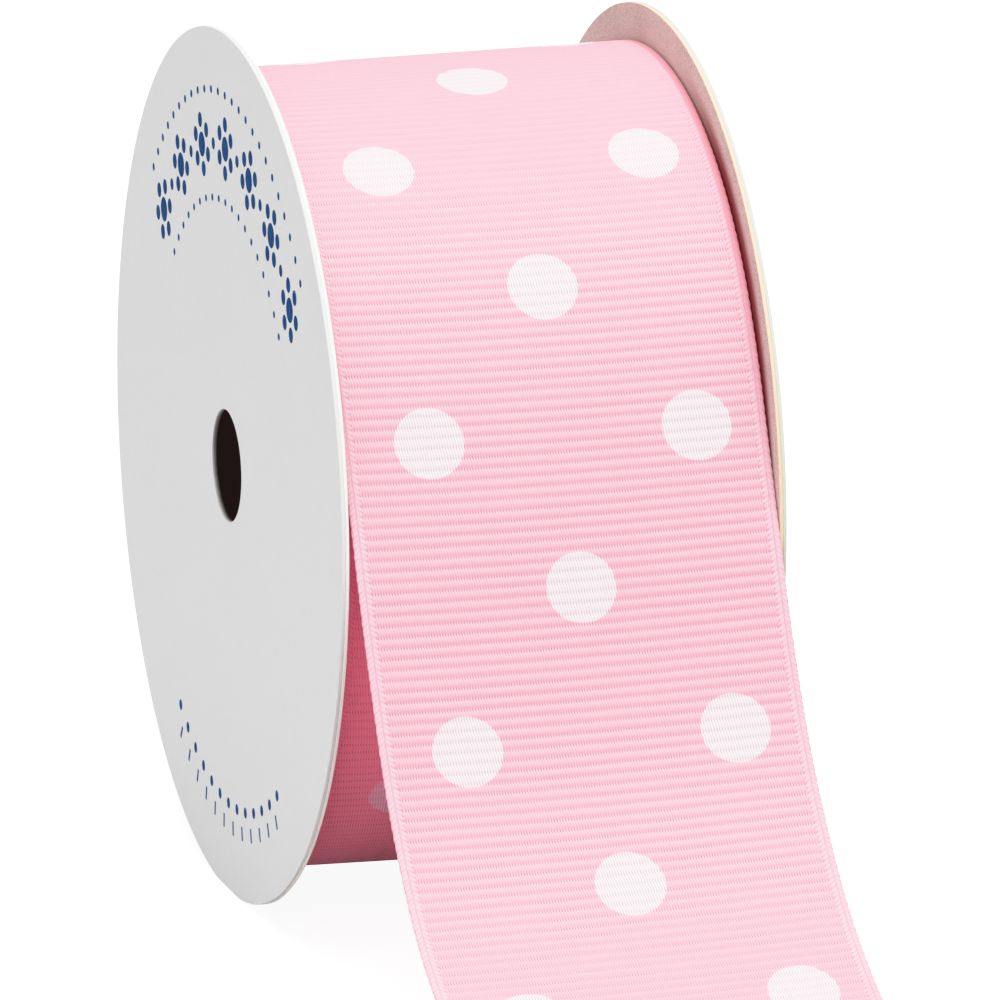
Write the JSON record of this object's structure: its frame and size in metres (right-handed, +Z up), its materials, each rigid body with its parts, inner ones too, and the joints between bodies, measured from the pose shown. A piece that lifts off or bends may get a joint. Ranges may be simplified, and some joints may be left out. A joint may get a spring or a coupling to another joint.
{
  "type": "spool of grosgrain ribbon",
  "caption": "Wide pink grosgrain ribbon with white polka dots, wound between round card flanges, its loose end sweeping down to lie on the surface in front.",
  "frame": {"origin": "on the surface that the spool stands on, under the middle of the whole object", "axes": "+Z up, X along the spool's axis with the coated near flange at -X, the loose end towards -Y"},
  "size_m": [0.0398, 0.1466, 0.0778],
  "materials": {
    "coated_card": "smooth light grey coated face with a small navy print, pale cut edge",
    "raw_card": "uncoated grained card, two plies, cream cut edge",
    "core_board": "dark wound board, matte",
    "ribbon": "pink woven grosgrain, cross ribs, smooth selvedges, printed white dots, slight sheen"
  },
  "bodies": {
    "root": {"near_flange": "coated_card", "far_flange": "raw_card", "core_tube": "core_board", "ribbon_roll": "ribbon", "ribbon_tail": "ribbon"}
  },
  "joints": []
}
